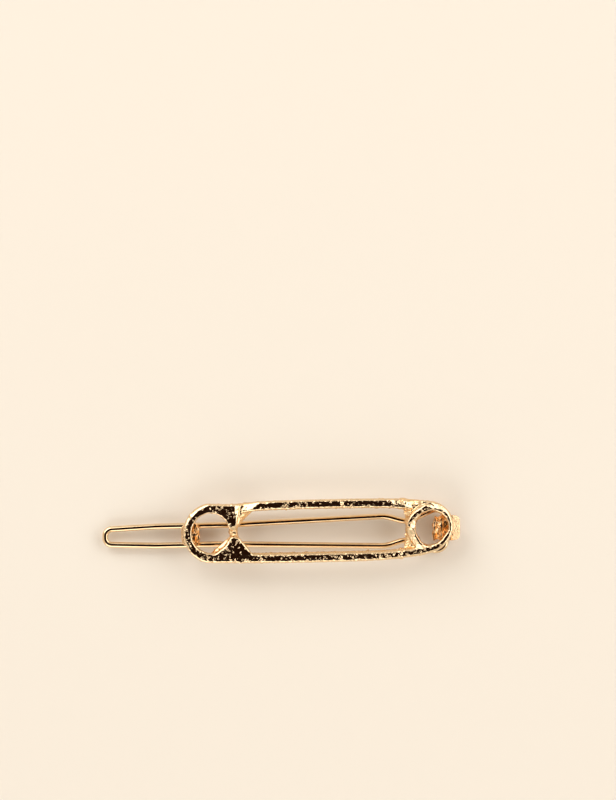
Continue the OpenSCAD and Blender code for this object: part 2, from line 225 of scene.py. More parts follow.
# Arcs of the cap's band, in degrees: its sharp inner edge, and its sloping outer edge
sharp_arc = (200, 14)
slope_arc = (84, 30, 172, 30)

# Sections of each loft
rail_steps = 90
crossing_steps = 72
fan_steps = 28
chord_steps = 24
web_steps = 60


def mix(a, b, s):
    return a + (b - a) * s


def polar(r, degrees):
    a = math.radians(degrees)
    return np.array([r * math.cos(a), r * math.sin(a)])


def clamp(s):
    return min(1.0, max(0.0, s))


def ease(s):
    c = clamp(s)
    return c * c * (3 - 2 * c)


def between(x, first, fade_in, last, fade_out):
    """1 between two places, with a smooth fade after the first and before the last."""
    return ease((x - first) / fade_in) * ease((last - x) / fade_out)


def bell(x, at, reach, height=1.0):
    """A smooth bump at a place, for a number or an array."""
    return height * np.exp(-(((x - at) / reach) ** 2))


def hump(a, at, spread, height):
    """A smooth bump round the angle at, and nothing past spread degrees from it."""
    d = abs((a - at + 540) % 360 - 180)
    return 0.0 if d > spread else height * math.cos(math.radians(90 * d / spread)) ** 2


def outer_y(x, side):
    """Distance of the ornament's outline from the middle line at x, above or below it."""
    if x < crest_x:
        dip = bell(x - cap_x, *neck_dip) if side > 0 else 0.0
        return frame_w / 2 - (frame_w - cap_w) / 2 * ((crest_x - x) / (crest_x - cap_x)) ** 2 - dip
    s = (x - crest_x) / (coil_x - crest_x)
    return frame_w / 2 - (frame_w / 2 - coil_y - side * end_rise) * s ** 4


def rail_w(x, side):
    """Width of a rail at x, which meets the edge of each hole."""
    w = rail_top_w if side > 0 else rail_bottom_w
    if x < crest_x:
        return mix(w, cap_w / 2 - cap_hole_r, ((crest_x - x) / (crest_x - cap_x)) ** 2)
    end_w = coil_y - coil_hole_r + side * (end_rise - coil_rise)
    return mix(w, end_w, ((x - crest_x) / (coil_x - crest_x)) ** 2)


def rail_t(x, side):
    """Thickness of a rail: the upper one comes out from under the cap and sinks before the coil."""
    if side < 0:
        return frame_t
    from_crease = x - cap_x - crease_x
    to_coil = coil_x - x
    shown = min(clamp(from_crease / rise_len), clamp((to_coil - sink_gap) / sink_len))
    hidden = ease((crease_fade / 2 - from_crease) / crease_fade) + ease((inner_gap - to_coil) / inner_fade)
    return mix(web_t, frame_t, min(1, max(shown, hidden)))


def rail_lean(x):
    """How far the upper rail's crown leans out where it leaves the cap and before the coil."""
    by_cap = between(x - cap_x - crease_x, *lean_by_cap)
    return crown_lean * max(by_cap, between(x - coil_x, *lean_by_coil))


def coil_hole(a):
    """Edge of the coil hole: a circle with a flatter side and a blunt tip."""
    r = coil_hole_r * (1 - hump(a, *hole_flat) + hump(a, *hole_tip))
    return coil_centre + polar(r, a)


def section(p, q, h, edge_p, edge_q, lean=0.0):
    """A cross-section from edge p to edge q: flat back, upright sides and shaped front edges.

    Its crown sinks by the lean from p to q.
    """
    width_all = np.linalg.norm(q - p)
    d = (q - p) / width_all
    points = [(*p, back_z)]
    for start, inward, (width, drop, power), order in ((p, d, edge_p, 1), (q, -d, edge_q, -1)):
        turn = [math.pi / 2 * k / (edge_steps - 1) for k in range(edge_steps)][::order]
        for t in turn:
            c = start + inward * width * (1 - max(0.0, math.cos(t)) ** (2 / power))
            sunk = lean * np.linalg.norm(c - p) / width_all
            points.append((*c, back_z + h - sunk - drop * (1 - math.sin(t) ** (2 / power))))
    points.append((*q, back_z))
    return points


def shaped(p, q, h, edge_p, edge_q, lean=0.0):
    """A section whose edges are narrowed, where need be, to meet at its crown."""
    room = np.linalg.norm(q - p) / (edge_p[0] + edge_q[0])
    if room < 1:
        edge_p, edge_q = ((e[0] * room, *e[1:]) for e in (edge_p, edge_q))
    return section(p, q, h, edge_p, edge_q, lean)


def blend_edges(a, b, s):
    return tuple(mix(x, y, s) for x, y in zip(a, b))


def loft(rows, closed=False):
    """Points and quads of a solid through a row of sections with as many points each."""
    n, m = len(rows), len(rows[0])
    points = [p for row in rows for p in row]
    quads = [
        (i * m + j, i * m + (j + 1) % m, (i + 1) % n * m + (j + 1) % m, (i + 1) % n * m + j)
        for i in range(n if closed else n - 1) for j in range(m)
    ]
    if not closed:
        for start in (0, (n - 1) * m):
            end = start + m - 1
            quads += [(start + j, start + j + 1, end - 1 - j, end - j) for j in range(m // 2 - 1)]
    return np.array(points, np.float32), np.array(quads, np.uint32)


def rail_section(x, side):
    """A rail at x: the upper one leans, and the lower one has a wide inner edge."""
    far_y = side * outer_y(x, side)
    p, q = np.array([x, far_y - side * rail_w(x, side)]), np.array([x, far_y])
    near, lean = (rail_edge, rail_lean(x)) if side > 0 else (low_inner_edge, 0.0)
    return shaped(p, q, rail_t(x, side), near, rail_edge, lean)


def end_section(a):
    """The band of the right end at an angle of the coil hole, with edges that take turns."""
    b = a * math.degrees(math.acos((coil_x - end_x) / end_r)) / 90
    q = np.array([end_x, end_rise]) + polar(end_r * (1 - hump(b, *end_flat)), b)
    far = rail_edge
    for edge, start, fade in end_edges:
        far = blend_edges(far, edge, ease((start - a) / fade))
    return shaped(coil_hole(a), q, frame_t, crest_edge, far)


def cap_section(a):
    """The cap's band at an angle: sharp inside on its upper half, sloping on its upper left."""
    start, fade = sharp_arc
    p = cap_centre + polar(cap_hole_r, a)
    q = cap_centre + polar(1, a) * (cap_hole_r + cap_band, cap_w / 2)
    near = blend_edges(hole_edge, sharp_edge, ease((start - a) / fade))
    far = blend_edges(cap_outer_edge, cap_slope, between(a, *slope_arc))
    return shaped(p, q, frame_t, near, far)


def outer_loop():
    """Cap band, upper rail, end band and lower rail in one closed bar."""
    rail = [mix(cap_x, coil_x, i / rail_steps) for i in range(rail_steps + 1)]
    turn = [180 * i / rail_steps for i in range(1, rail_steps)]
    rows = [rail_section(x, 1) for x in rail]
    rows += [end_section(90 - t) for t in turn]
    rows += [rail_section(x, -1) for x in rail[::-1]]
    rows += [cap_section(270 - t) for t in turn]
    return loft(rows, closed=True)


def at_angle(table, a):
    """Values between the rows of a table of angles and values."""
    keys = [row[0] for row in table]
    return [float(np.interp(a, keys, [row[k] for row in table])) for k in range(1, len(table[0]))]


def coil_crossing():
    """The coil's band: its crest wanders from the hole's edge out to its left side and back.

    The rows of the first table hold an angle, the shares of the band that its inner and outer
    edges take, and the power of their curves. Those of the second hold an angle and a height.
    """
    edge_shares = (
        (60, 0.2, 0.64, 1.3), (84, 0.2, 0.66, 1.3), (94, 0.15, 0.5, 1.4), (104, 0.1, 0.2, 1.4),
        (114, 0.12, 0.32, 1.25), (122, 0.2, 0.42, 1.2), (150, 0.42, 0.22, 1.2),
        (168, 0.72, 0.06, 1.2), (175, 0.9, 0.05, 1.02), (184, 0.1, 0.89, 1.02),
        (198, 0.1, 0.88, 1.02), (204, 0.12, 0.68, 1.1), (242, 0.14, 0.66, 1.15),
        (250, 0.2, 0.62, 1.2), (292, 0.25, 0.6, 1.2),
    )
    heights = (
        (60, frame_t - 0.05), (82, frame_t + 0.1), (105, coil_t),
        (236, coil_t), (256, frame_t), (272, web_t),
    )
    first_a, last_a = 62, 284
    end_w, middle_w = 0.85 * coil_band, 1.08 * coil_band
    least_drop, most_drop = 0.36, 0.46
    outer_drop = 0.5
    rows = []
    for i in range(crossing_steps + 1):
        s = i / crossing_steps
        a = mix(first_a, last_a, s)
        p = coil_hole(a)
        w = mix(end_w, middle_w, math.sin(math.pi * s))
        q = p + w * (p - coil_centre) / np.linalg.norm(p - coil_centre)
        near, far, power = at_angle(edge_shares, a)
        inner_edge = (near * w, mix(least_drop, most_drop, near), power)
        outer_edge = (far * w, outer_drop * min(1, 3 * far), power)
        rows.append(shaped(p, q, *at_angle(heights, a), inner_edge, outer_edge))
    return loft(rows)


def cap_rows(side, wall, near_edge, far_reach, hole_r, height):
    """Sections of one half of the cap, fanned round the hole, up to its leaning right wall."""
    first_a, last_a = 0.5, 96
    least_band = 0.25
    least_facet = (0.1, 0.2)
    start, lean = wall
    slope = math.tan(math.radians(lean))
    corner_a = math.degrees(math.atan2(crown_y, start + crown_y * slope))
    angles = [mix(first_a, corner_a, i / fan_steps) for i in range(fan_steps)]
    angles += [mix(corner_a, last_a, i / fan_steps) for i in range(fan_steps + 1)]
    rows = []
    for a in angles:
        c, s = polar(1, a)
        reach = start / (c - slope * s) if a < corner_a else crown_y / s
        p = cap_centre + polar(min(hole_r(a), reach - least_band), side * a)
        q = cap_centre + polar(reach, side * a)
        facet = max(least_facet[0], far_reach(reach * c, reach * s) / c)
        far = (facet, max(least_facet[1], facet_slope * facet), facet_power)
        if a >= corner_a:
            far = small_round
        rows.append(shaped(p, q, mix(ledge_t, frame_t, height(a)), near_edge, far))
    return rows


def crease_at(y):
    """How far right of the hole's centre the upper half's crease lies at y."""
    top_shift = 0.28
    shift_y, shift_len = 2.4, 1.8
    return crease_x - top_shift * ease((y - shift_y) / shift_len)


def upper_half():
    """The cap's upper half: its right side is a tapering facet between a crease and a wall.

    Its lip over the ledge fades out towards the top, and its tip is cut back from the hole.
    """
    facet_len = 1.9
    lip = 0.37
    tip_cut = 0.5
    tip_a, tip_fade = 11, 9
    low_a, rise_fade = 3, 13

    def facet_w(x, y):
        return (x - crease_at(y)) * ease(y / facet_len)

    def hole_r(a):
        return cap_hole_r - lip * (1 - min(1, a / 90)) + tip_cut * ease((tip_a - a) / tip_fade)

    def height(a):
        return clamp((a - low_a) / rise_fade)

    return loft(cap_rows(1, upper_wall, thin_edge, facet_w, hole_r, height))


def lower_half():
    """The cap's lower half: a dark triangle with narrow rounded edges."""
    wall_edge = 0.36
    tip_gap = 0.15
    tip_fade = 20
    lip = 0.3
    lip_a, lip_fade = 85, 25
    low_a, rise_fade = 2, 12

    def hole_r(a):
        low_r = cap_hole_r - lip * ease((lip_a - a) / lip_fade)
        return mix(crossing_x - tip_gap, low_r, ease(a / tip_fade))

    def height(a):
        return ease((a - low_a) / rise_fade)

    return loft(cap_rows(-1, lower_wall, wedge_edge, lambda x, y: wall_edge, hole_r, height))


def chord_ledge():
    """The sloping ledge that closes the lower right of the cap hole along a chord."""
    chord_share = 0.97
    half = chord_share * math.degrees(math.acos(chord_gap / cap_hole_r))
    overlap = 0.4
    rows = []
    for i in range(chord_steps + 1):
        a = mix(-half, half, i / chord_steps)
        p = cap_centre + polar(chord_gap / math.cos(math.radians(a)), chord_a + a)
        q = cap_centre + polar(cap_hole_r + overlap, chord_a + a)
        rows.append(shaped(p, q, ledge_t, ledge_slope, small_round))
    return loft(rows[::-1])


def cap_web():
    """The low web between the cap hole and the long window, which slopes down to the window."""
    soft = 0.45 * cap_hole_r
    side_y = 0.96 * cap_hole_r
    lower_spread, upper_spread = 1.05, 1.2
    height = web_t + 0.05
    fall_drop, fall_power = 0.8, 1.25
    wall_gap = 0.2
    wall_lean = math.tan(math.radians(upper_wall[1]))
    rows = []
    for i in range(web_steps + 1):
        y = mix(crown_y, -crown_y, i / web_steps)
        hole_x = cap_x + math.sqrt(cap_hole_r ** 2 - min(abs(y), side_y) ** 2)
        hole_x -= bell(y, *waist_left)
        spread = lower_spread if y <= 0 else upper_spread
        window_x = cap_x + cap_hole_r + cap_neck + spread * (math.hypot(y, soft) - soft)
        window_x += bell(y, *waist_right)
        fall = max(web_round[0], window_x - cap_x - upper_wall[0] - wall_lean * max(y, 0) - wall_gap)
        near = blend_edges(web_round, waist_slope, bell(y, *waist_left[:2]))
        p, q = np.array([hole_x, y]), np.array([window_x, y])
        rows.append(shaped(p, q, height, near, (fall, fall_drop, fall_power)))
    return loft(rows)


def coil_web():
    """The low rough web between the rails and the coil's band, which sinks towards the window.

    The rows hold the places of its left and right edges, as shares of the coil's outer radius,
    and the share of the way from the middle line to a rail.
    """
    out = coil_hole_r + coil_band
    half_shares = ((1.3, 0.5, 1.0), (1.16, 0.55, 0.82), (1.11, 0.65, 0.6), (1.1, 0.8, 0.35))
    lower_shares = tuple((tip, root, -share) for tip, root, share in half_shares[::-1])
    end_rise_t = 0.15
    fall_drop, fall_power = 0.75, 1.2
    rows = []
    for tip, root, share in (*half_shares, (1.09, 0.85, 0.0), *lower_shares):
        y = share * (outer_y(coil_x - out, -1 if share < 0 else 1) - rail_top_w / 2)
        p = np.array([coil_x - root * out, y])
        q = np.array([coil_x - tip * out, y])
        height = web_t + end_rise_t * ease(2 * abs(share) - 0.6)
        rows.append(shaped(p, q, height, small_round, (out * (tip - root), fall_drop, fall_power)))
    return loft(rows)


def axes_of(low, high):
    """Grid lines of a field round a box, in whole steps of the pitch along each axis."""
    start = np.floor(low / pitch).astype(int) - band_steps
    stop = np.ceil(high / pitch).astype(int) + band_steps
    return [np.arange(a, b + 1) for a, b in zip(start, stop)]


def distance_to(lines, points, **faces):
    """Signed distance to a closed shape of quads or triangles, in millimetres, on a grid."""
    grid = openvdb.FloatGrid.createLevelSetFromPolygons(
        points, transform=openvdb.createLinearTransform(pitch), halfWidth=band_steps, **faces)
    field = np.zeros([len(a) for a in lines], np.float32)
    grid.copyToArray(field, ijk=tuple(int(a[0]) for a in lines))
    return field


def soften(field, passes):
    """Blurs a field a little, which rounds edges and fills corners."""
    for _ in range(passes):
        for axis in range(3):
            field = (np.roll(field, 1, axis) + 2 * field + np.roll(field, -1, axis)) / 4
    return field


def lumps(lines, spacing, seed):
    """Smooth random lumps of unit size on a grid of lines, a spline over random heights."""
    maker = np.random.RandomState(seed)
    weights = []
    for a in lines:
        t = (a - a[0]) * pitch / spacing
        cells = int(t[-1]) + 4
        d = np.abs(t[:, None] - np.arange(cells)[None, :] + 1)
        near = 2 / 3 - d ** 2 + d ** 3 / 2
        far = np.clip(2 - d, 0, None) ** 3 / 6
        weights.append(np.where(d < 1, near, far))
    heights = maker.uniform(-1, 1, [w.shape[1] for w in weights])
    for w in weights:
        heights = np.tensordot(heights, w, axes=(0, 1))
    return (heights / heights.std()).astype(np.float32)


def knobs(lines, height, spacing, seed, bare):
    """Rounded knobs or pits here and there: the tops of smooth lumps, over a level that stays bare."""
    return height * np.clip(lumps(lines, spacing, seed) - bare, 0, None) ** knob_power


def ramp_up(lines, start, fade, least=0.0):
    """A ramp from least to 1 with the height over the ornament's back, or down if fade is under 0."""
    return np.clip((lines[2] * pitch - back_z - start) / fade, least, 1)[None, None, :]


def clip_to(field, lines, low, high):
    """Cuts a field to a box."""
    for axis, line in enumerate(lines):
        shape = [1, 1, 1]
        shape[axis] = -1
        at = (line * pitch).reshape(shape)
        field = np.maximum(field, np.maximum(at - high[axis], low[axis] - at))
    return field


def mesh_object(name, points, faces):
    """A smooth-shaded object from points in millimetres."""
    mesh = bpy.data.meshes.new(name)
    corner_points = [tuple(p) for p in np.asarray(points, float) * MM]
    mesh.from_pydata(corner_points, [], [tuple(map(int, f)) for f in faces])
    mesh.validate()
    mesh.shade_smooth()
    made = bpy.data.objects.new(name, mesh)
    bpy.context.scene.collection.objects.link(made)
    return made


def surface(name, field, lines):
    """The object whose skin is where a field is zero."""
    grid = openvdb.FloatGrid(band_steps * pitch)
    grid.copyFromArray(field.astype(np.float32), ijk=tuple(int(a[0]) for a in lines))
    grid.transform = openvdb.createLinearTransform(pitch)
    points, quads = grid.convertToQuads(0.0)
    return mesh_object(name, points, quads[:, ::-1])


def cut_facet(field, lines):
    """Cuts the sloping facet between the crease and the wall of the cap's upper half."""
    before_crease, past_wall = 0.3, 0.05
    lowest_y = 1.4
    x = (lines[0] * pitch - cap_x)[:, None]
    y = (lines[1] * pitch)[None, :]
    crease = np.array([crease_at(v) for v in y[0]])[None, :]
    wall = upper_wall[0] + y * math.tan(math.radians(upper_wall[1]))
    inside = (x > crease - before_crease) & (x < wall + past_wall) & (y > lowest_y)
    over_front = (lines[2] * pitch - back_z - frame_t)[None, None, :]
    rise = over_front + facet_slope * (x - crease)[:, :, None]
    plane = rise * math.cos(math.atan(facet_slope))
    return np.where(inside[:, :, None], np.maximum(field, plane), field)


def make_pin():
    """The cast ornament."""
    lines = axes_of(pin_low, pin_high)
    lofts = (outer_loop(), coil_crossing(), cap_web(), coil_web(),
             upper_half(), lower_half(), chord_ledge())
    field = distance_to(lines, lofts[0][0], quads=lofts[0][1])
    for points, quads in lofts[1:]:
        field = np.minimum(field, distance_to(lines, points, quads=quads))
    field = soften(field, 1)
    field += pin_shrink
    for height, spacing, seed in pin_lumps:
        field += height * lumps(lines, spacing, seed)
    height, spacing, seed = web_lumps
    strip = bell(lines[0] * pitch - coil_x, *web_lumps_x, height)[:, None, None]
    field += strip * ramp_up(lines, *web_lumps_z) * lumps(lines, spacing, seed)
    field += knobs(lines, *pin_pits)
    field -= knobs(lines, *pin_knobs)
    field = cut_facet(field, lines)
    return surface("pin_casting", clip_to(field, lines, pin_low, pin_high), lines)


def node_shape(name):
    """Points and triangles of a node of the frame, in millimetres."""
    mesh = frame["nodes"][name].data
    mesh.calc_loop_triangles()
    points = np.array([v.co for v in mesh.vertices], np.float32) / MM
    return points, np.array([t.vertices for t in mesh.loop_triangles], np.uint32)


def round_plan(field, lines, foot, off_x, off_y):
    """Cuts a foot's corners off to the plan of its superellipse."""
    half = foot["half"]
    power = np.where(off_x < 0, *foot["powers"])
    away = (np.abs(off_x / half[0]) ** power + np.abs(off_y / half[1]) ** power) ** (1 / power)
    on_foot = (lines[2] * pitch > back_z - foot_reach)[None, None, :]
    return np.maximum(field, np.where(on_foot, (away[:, :, None] - 1) * min(half), -1))


def make_small_casting(name, replaced, foot):
    """A soldered foot: the frame's own shape with rounded edges, ridges and thick lumps.

    What sticks out past an end of the ornament slopes down and has lower lumps.
    """
    low, high = corners(replaced)
    lines = axes_of(low, high)
    points, triangles = node_shape(replaced)
    field = soften(distance_to(lines, points, triangles=triangles), 3)
    off_x = (lines[0] * pitch - foot["centre"][0])[:, None]
    off_y = (lines[1] * pitch - foot["centre"][1])[None, :]
    off_x = off_x + foot["lean"] * off_y * np.clip(-off_x / foot["half"][0], 0, 1)
    field = round_plan(field, lines, foot, off_x, off_y)
    on_top = ramp_up(lines, *ridge_z)
    for x, rise in foot["ridges"]:
        field -= bell(off_x, x - foot["centre"][0], ridge_w, rise)[:, :, None] * on_top
    middle = (pin_low[0] + pin_high[0]) / 2
    out = np.abs(lines[0] * pitch - middle) - (pin_high[0] - middle)
    share = np.clip(-out / out_edge, out_lumps_share, 1)[:, None, None] * ramp_up(lines, *foot_lumps_z)
    for number, (height, spacing) in enumerate(foot_lumps):
        field -= share * height * lumps(lines, spacing, foot["seed"] + number)
    over_back = (lines[2] * pitch - back_z)[None, None, :]
    slope = over_back + out_drop + out_tilt * (out + out_start)[:, None, None]
    field = np.maximum(field, np.where((out > -out_edge)[:, None, None], slope, -1))
    return surface(name, clip_to(field, lines, low, high + foot_room), lines)


def rounded(points, radii):
    """A path through points, with an arc in place of each corner."""
    path = [points[0]]
    for last, corner, coming, radius in zip(points, points[1:], points[2:], radii[1:]):
        before = (corner - last) / np.linalg.norm(corner - last)
        after = (coming - corner) / np.linalg.norm(coming - corner)
        turn = math.atan2(before[0] * after[1] - before[1] * after[0], before @ after)
        start = corner - before * radius * math.tan(abs(turn) / 2)
        hub = start + radius * math.copysign(1, turn) * np.array([-before[1], before[0]])
        arm = start - hub
        steps = max(2, int(abs(math.degrees(turn)) / bend_step))
        for k in range(steps + 1):
            c, s = math.cos(turn * k / steps), math.sin(turn * k / steps)
            path.append(hub + (arm[0] * c - arm[1] * s, arm[0] * s + arm[1] * c))
    path.append(points[-1])
    return path


def wire_path():
    """Centre line of the wire, from one end in the knuckle's bore to the other."""
    aim = np.array([waist_len - knee_r, knee_y - waist_w / 2])
    flare = math.atan2(aim[1], aim[0]) + math.asin(knee_r / np.linalg.norm(aim))
    x = hinge[0]
    tab_len = pin_low[0] - wire_low[0]
    bend_share, tip_r_share = 0.35, 0.45
    half = [
        (x, bore_end_y, 0),
        (x, waist_w / 2 + waist_len * math.tan(flare), knee_r),
        (x - waist_len, waist_w / 2, 2 * knee_r),
        (x - shoulder_len, shoulder_w / 2, 3 * knee_r),
        (cap_x + (cap_hole_r + cap_band) / 2, leg_w / 2, leg_bend_r),
        (pin_low[0] - bend_share * tab_len, leg_w / 2, leg_bend_r),
        (wire_low[0] + wire_d / 2, tip_w / 2, tip_r_share * tip_w),
    ]
    rows = half + [(a, -b, r) for a, b, r in half[::-1]]
    path = rounded([np.array(row[:2]) for row in rows], [row[2] for row in rows])
    even = [path[0]]
    for a, b in zip(path, path[1:]):
        count = max(1, int(np.linalg.norm(b - a) / wire_step))
        even += [mix(a, b, (k + 1) / count) for k in range(count)]
    return np.array([(p[0], p[1] + hinge[1], hinge[2]) for p in even])


def make_wire():
    """The clasp: one bent length of drawn wire, very slightly flattened."""
    path = wire_path()
    along = np.gradient(path, axis=0)
    along /= np.linalg.norm(along, axis=1)[:, None]
    across = np.stack([-along[:, 1], along[:, 0], np.zeros(len(path))], 1)
    angle = np.arange(wire_sides) * 2 * math.pi / wire_sides
    side, rise = (np.sign(v) * np.abs(v) ** (2 / wire_power) for v in (np.cos(angle), np.sin(angle)))
    ring = side[None, :, None] * across[:, None, :] + rise[None, :, None] * np.array([0, 0, 1])
    points = (path[:, None, :] + wire_d / 2 * ring).reshape(-1, 3)
    starts = [i * wire_sides for i in range(len(path))]
    faces = [
        (b + j, b + (j + 1) % wire_sides, a + (j + 1) % wire_sides, a + j)
        for a, b in zip(starts, starts[1:]) for j in range(wire_sides)
    ]
    faces.append(tuple(range(wire_sides)))
    faces.append(tuple(starts[-1] + j for j in range(wire_sides))[::-1])
    made = mesh_object("clasp_wire", points, faces)
    steps = np.linalg.norm(np.diff(path, axis=0), axis=1)
    length = np.concatenate([[0], np.cumsum(steps)])
    layer = made.data.uv_layers.new(name="drawn")
    for loop in made.data.loops:
        i, j = divmod(loop.vertex_index, wire_sides)
        layer.data[loop.index].uv = (length[i], j / wire_sides * math.pi * wire_d)
    return made


def add_node(tree, kind, at, **values):
    """A shader node with its settings and inputs set by name."""
    made = tree.nodes.new(kind)
    made.location = at
    for key, value in values.items():
        if hasattr(made, key) and key not in made.inputs:
            setattr(made, key, value)
        else:
            made.inputs[key].default_value = value
    return made


def noise(tree, at, place, scale, detail):
    """A noise over places, from 0 to 1."""
    made = add_node(tree, "ShaderNodeTexNoise", at, Scale=scale, Detail=detail)
    tree.links.new(place, made.inputs["Vector"])
    return made.outputs["Fac"]


def map_range(tree, at, value, start, stop, low, high, curve="LINEAR"):
    """A ramp from low where the value is start to high where it is stop."""
    made = add_node(tree, "ShaderNodeMapRange", at, interpolation_type=curve)
    for key, limit in (("From Min", start), ("From Max", stop), ("To Min", low), ("To Max", high)):
        made.inputs[key].default_value = limit
    tree.links.new(value, made.inputs["Value"])
    return made.outputs["Result"]


def smooth_step(tree, at, value, start, stop):
    """A smooth ramp from 0 where the value is start to 1 where it is stop."""
    return map_range(tree, at, value, start, stop, 0, 1, "SMOOTHSTEP")


def maths(tree, at, operation, *terms):
    """One sum on values, which are sockets or numbers."""
    made = add_node(tree, "ShaderNodeMath", at, operation=operation)
    for slot, term in zip(made.inputs, terms):
        if isinstance(term, float):
            slot.default_value = term
        else:
            tree.links.new(term, slot)
    return made.outputs["Value"]


def blend_colours(tree, at, share, first, second):
    """A colour between two by a share. Each colour is a socket or three numbers."""
    made = add_node(tree, "ShaderNodeMix", at, data_type="RGBA")
    tree.links.new(share, made.inputs[0])
    for slot, colour in ((made.inputs[6], first), (made.inputs[7], second)):
        if isinstance(colour, tuple):
            slot.default_value = (*colour, 1)
        else:
            tree.links.new(colour, slot)
    return made.outputs[2]


def axis_of(tree, at, vector, axis):
    """One part of a vector."""
    made = add_node(tree, "ShaderNodeSeparateXYZ", at)
    tree.links.new(vector, made.inputs["Vector"])
    return made.outputs[axis]


def places(tree, at, kind="Object"):
    """Places on the object, in metres, or along another kind of coordinates."""
    return add_node(tree, "ShaderNodeTexCoord", at).outputs[kind]


def upward(tree, at):
    """How far the surface faces up: 1 on the front, and 0 on upright sides."""
    facing = add_node(tree, "ShaderNodeNewGeometry", at)
    return axis_of(tree, (at[0] + 200, at[1]), facing.outputs["Normal"], "Z")


def add_bump(tree, at, height, distance):
    """A bump of the given height in metres."""
    made = add_node(tree, "ShaderNodeBump", at, Strength=1.0, Distance=distance)
    tree.links.new(height, made.inputs["Height"])
    return made


def gold(name, light, deep, rough, grain, grain_height):
    """Plated gold: two close tones in soft patches, an uneven gloss and a fine grain.

    Gives the material and its grain's bump, which takes in the normal of any larger bump.
    """
    patch_scale, gloss_scale = 900, 1980
    gloss_from, gloss_to = 0.3, 0.7
    material = bpy.data.materials.new(name)
    material.use_nodes = True
    tree = material.node_tree
    shader = tree.nodes["Principled BSDF"]
    shader.inputs["Metallic"].default_value = 1.0
    place = places(tree, (-1200, 0))
    tone = noise(tree, (-900, 250), place, patch_scale, 3.0)
    gloss = noise(tree, (-900, 0), place, gloss_scale, 4.0)
    fine = noise(tree, (-900, -250), place, grain, 3.0)
    bump = add_bump(tree, (-300, -250), fine, grain_height)
    link = tree.links.new
    link(blend_colours(tree, (-500, 300), tone, light, deep), shader.inputs["Base Color"])
    link(map_range(tree, (-500, 0), gloss, gloss_from, gloss_to, *rough), shader.inputs["Roughness"])
    link(bump.outputs["Normal"], shader.inputs["Normal"])
    return material, bump


def add_specks(material, bump, height):
    """Clusters of raised specks on a casting's level front, under its grain."""
    speck_scale, cluster_scale = 2500, 700
    speck_level, cluster_level, level_front = (0.6, 0.72), (0.38, 0.58), (0.95, 0.99)
    tree = material.node_tree
    place = places(tree, (-1200, -600))
    specks = noise(tree, (-900, -500), place, speck_scale, 1.2)
    clusters = noise(tree, (-900, -700), place, cluster_scale, 1.0)
    tops = smooth_step(tree, (-700, -500), specks, *speck_level)
    where = smooth_step(tree, (-700, -700), clusters, *cluster_level)
    crown = smooth_step(tree, (-700, -900), upward(tree, (-1100, -900)), *level_front)
    sparse = maths(tree, (-500, -700), "MULTIPLY", where, crown)
    raised = add_bump(tree, (-400, -500), maths(tree, (-500, -500), "MULTIPLY", tops, sparse), height)
    tree.links.new(raised.outputs["Normal"], bump.inputs["Normal"])


def paint_shade(material, deep, unshaded):
    """Mixes a deeper gold into the material as painted shade, wherever the given socket is under 1."""
    tree = material.node_tree
    paint = tree.nodes["Principled BSDF"].inputs["Base Color"]
    colour = paint.links[0].from_socket
    tree.links.new(blend_colours(tree, (-200, 500), unshaded, deep, colour), paint)


def paint_low_shade(material, deep):
    """Painted shade: deeper gold on the low webs, which the crowns beside them shade, than on the crowns.
    """
    tree = material.node_tree
    z = axis_of(tree, (-1000, 600), places(tree, (-1200, 600)), "Z")
    web_z, crown_z = (back_z + 1.1) * MM, (back_z + 1.45) * MM
    paint_shade(material, deep, smooth_step(tree, (-400, 600), z, web_z, crown_z))


def paint_side_shade(material, deep):
    """Painted shade: deeper gold on upright sides, for the shadowed floor they reflect, than on the front.
    """
    side, front = 0.1, 0.65
    tree = material.node_tree
    paint_shade(material, deep, smooth_step(tree, (-400, 1200), upward(tree, (-1200, 1200)), side, front))


def paint_inside_shade(material, deep):
    """Painted shade: deeper gold under the ornament, where it shades the feet, than past its two ends, but
    for random spots on the foot where it is left off.
    """
    spot_scale = 1500
    spot_level = (0.5, 0.6)
    end_fade = 0.4 * MM
    stem_z, foot_z = (back_z - 0.7) * MM, (back_z - 0.3) * MM
    tree = material.node_tree
    place = places(tree, (-1200, 600))
    x = axis_of(tree, (-1000, 600), place, "X")
    z = axis_of(tree, (-1000, 1100), place, "Z")
    middle = float(pin_low[0] + pin_high[0]) / 2 * MM
    away = maths(tree, (-600, 600), "ABSOLUTE", maths(tree, (-800, 600), "SUBTRACT", x, middle))
    reach = (pin_high[0] - pin_low[0]) / 2 * MM
    outside = smooth_step(tree, (-400, 600), away, reach - end_fade, reach)
    # random spots on the foot where the painted shade is left off
    spots = noise(tree, (-800, 850), place, spot_scale, 1.0)
    bare = smooth_step(tree, (-600, 850), spots, *spot_level)
    foot = smooth_step(tree, (-600, 1100), z, stem_z, foot_z)
    unshaded_spots = maths(tree, (-400, 900), "MULTIPLY", bare, foot)
    paint_shade(material, deep, maths(tree, (-300, 700), "MAXIMUM", outside, unshaded_spots))


# The two close tones of the bright plating, on the casting and on the wire
pale = (0.95, 0.75, 0.49)
warm = (0.88, 0.64, 0.39)


def cast_gold():
    """The ornament's bright lumpy plating."""
    speck_height = 0.00009
    material, bump = gold("cast_gold", pale, warm, rough=(0.06, 0.16), grain=5500, grain_height=0.000022)
    add_specks(material, bump, speck_height)
    # painted shade on the low webs between the crowns
    paint_low_shade(material, (0.9, 0.63, 0.35))
    # painted shade on the upright sides, for the shadowed floor they reflect
    paint_side_shade(material, (0.84, 0.58, 0.31))
    return material


def solder_gold():
    """The duller plating of the soldered feet, in deeper tones that are partly their own colour and partly
    painted shade from under the ornament.
    """
    speck_height = 0.00005
    light, deep = (0.88, 0.64, 0.4), (0.8, 0.52, 0.29)
    material, bump = gold("solder_gold", light, deep, rough=(0.1, 0.26), grain=5000, grain_height=0.00003)
    add_specks(material, bump, speck_height)
    # painted shade on the feet under the ornament
    paint_inside_shade(material, (0.62, 0.31, 0.11))
    return material


